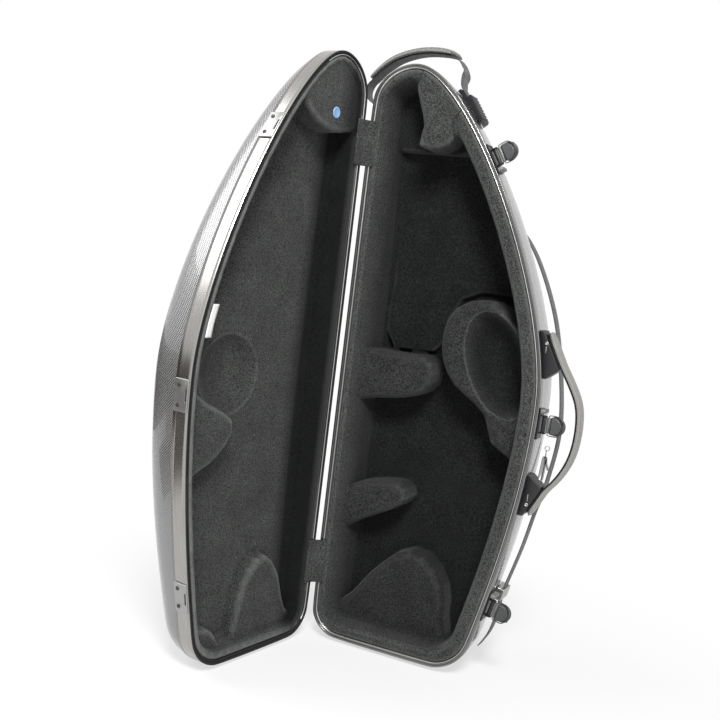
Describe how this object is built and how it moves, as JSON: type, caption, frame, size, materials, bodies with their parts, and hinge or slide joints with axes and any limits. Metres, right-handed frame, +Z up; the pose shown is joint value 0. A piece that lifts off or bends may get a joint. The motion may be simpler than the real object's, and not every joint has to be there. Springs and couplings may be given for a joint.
{
  "type": "tenor saxophone case",
  "caption": "Moulded hard case for a tenor saxophone: hinged base and lid in metal edge frames, plush foam fitting, draw latches, strap handle, carrying straps and feet",
  "frame": {"origin": "on the surface that the case stands on, under the middle of the opened case's overall width and depth", "axes": "+Z is up along the hinge axis; +X runs from the hinge across the base's opening; the base opens towards -Y and its depth runs towards +Y"},
  "size_m": [0.501, 0.4713, 0.9062],
  "materials": {
    "bead": "bright bead",
    "plush": "black short-pile plush over foam",
    "edge": "dark brushed extrusion",
    "shell": "gloss woven composite with a silver-grey weave",
    "foot": "black rubber",
    "handle": "grey moulded strap",
    "black_plastic": "fine-grained black plastic",
    "piping": "dark inner edge",
    "steel": "plated steel, satin",
    "dark_steel": "black coated steel with a grey cast end block",
    "strap_pad": "grey padded fabric",
    "webbing": "black webbing"
  },
  "bodies": {
    "base": {"base_bead": "bead", "base_liner": "plush", "base_rim": "edge", "base_shell": "shell", "bell_cup": "plush", "body_pad_lower": "plush", "body_pad_upper": "plush", "bow_cradle": "plush", "floor_panel": "plush", "foot_base_back_free": "foot", "foot_base_back_spine": "foot", "foot_base_front_free": "foot", "foot_base_front_spine": "foot", "handle_bow": "handle", "handle_bracket_lower": "black_plastic", "handle_bracket_upper": "black_plastic", "handle_grip": "piping", "hinge_flap_lower": "plush", "hinge_flap_upper": "plush", "hinge_leaf_base_lower": "steel", "hinge_leaf_base_upper": "steel", "latch_plate_bottom": "dark_steel", "latch_plate_middle": "dark_steel", "latch_plate_top": "dark_steel", "neck_block": "plush", "neck_shelf": "plush", "strap_buckle_free": "steel", "strap_buckle_spine": "steel", "strap_keeper": "steel", "strap_pad_top": "strap_pad", "strap_plate_back": "black_plastic", "strap_shoulder": "webbing", "strap_webbing_top": "webbing"},
    "lid": {"foot_lid_free": "foot", "foot_lid_spine": "foot", "hinge_leaf_lid_lower": "steel", "hinge_leaf_lid_upper": "steel", "latch_strike_bottom": "steel", "latch_strike_middle": "steel", "latch_strike_top": "steel", "lid_bead": "bead", "lid_bow_mound": "plush", "lid_corner_pad": "plush", "lid_liner": "plush", "lid_rim": "edge", "lid_shell": "shell", "lid_top_block": "plush", "lid_wedge": "plush"},
    "lever_top": {"latch_lever_top": "steel", "latch_grip_top": "black_plastic"},
    "lever_middle": {"latch_lever_middle": "steel", "latch_grip_middle": "black_plastic"},
    "lever_bottom": {"latch_lever_bottom": "steel", "latch_grip_bottom": "black_plastic"},
    "bail_top": {"latch_bail_top": "steel"},
    "bail_middle": {"latch_bail_middle": "steel"},
    "bail_bottom": {"latch_bail_bottom": "steel"}
  },
  "joints": [
    {"name": "lid_hinge", "type": "hinge", "parent": "base", "child": "lid", "pos_m": [-0.1173, 0.0736, 0.436], "axis": [0, 0, 1], "range_deg": [-11, 99]},
    {"name": "latch_top", "type": "hinge", "parent": "base", "child": "lever_top", "pos_m": [0.08467, 0.0846, 0.74365], "axis": [-0.5209, 0, 0.8536], "range_deg": [-30, 85]},
    {"name": "latch_middle", "type": "hinge", "parent": "base", "child": "lever_middle", "pos_m": [0.2009, 0.0846, 0.3849], "axis": [0.0138, 0, 0.9999], "range_deg": [-30, 85]},
    {"name": "latch_bottom", "type": "hinge", "parent": "base", "child": "lever_bottom", "pos_m": [0.16252, 0.0846, 0.11245], "axis": [0.2207, 0, 0.9753], "range_deg": [-30, 85]},
    {"name": "bail_top", "type": "hinge", "parent": "lever_top", "child": "bail_top", "pos_m": [0.09022, 0.0846, 0.74703], "axis": [-0.5209, 0, 0.8536], "range_deg": [-176, 62]},
    {"name": "bail_middle", "type": "hinge", "parent": "lever_middle", "child": "bail_middle", "pos_m": [0.2074, 0.0846, 0.38481], "axis": [0.0138, 0, 0.9999], "range_deg": [-176, 62]},
    {"name": "bail_bottom", "type": "hinge", "parent": "lever_bottom", "child": "bail_bottom", "pos_m": [0.16886, 0.0846, 0.11102], "axis": [0.2207, 0, 0.9753], "range_deg": [-176, 62]}
  ],
  "couplings": [
    {"joint": "bail_top", "follows": "latch_top", "ratio": -2.06},
    {"joint": "bail_middle", "follows": "latch_middle", "ratio": -2.06},
    {"joint": "bail_bottom", "follows": "latch_bottom", "ratio": -2.06}
  ]
}
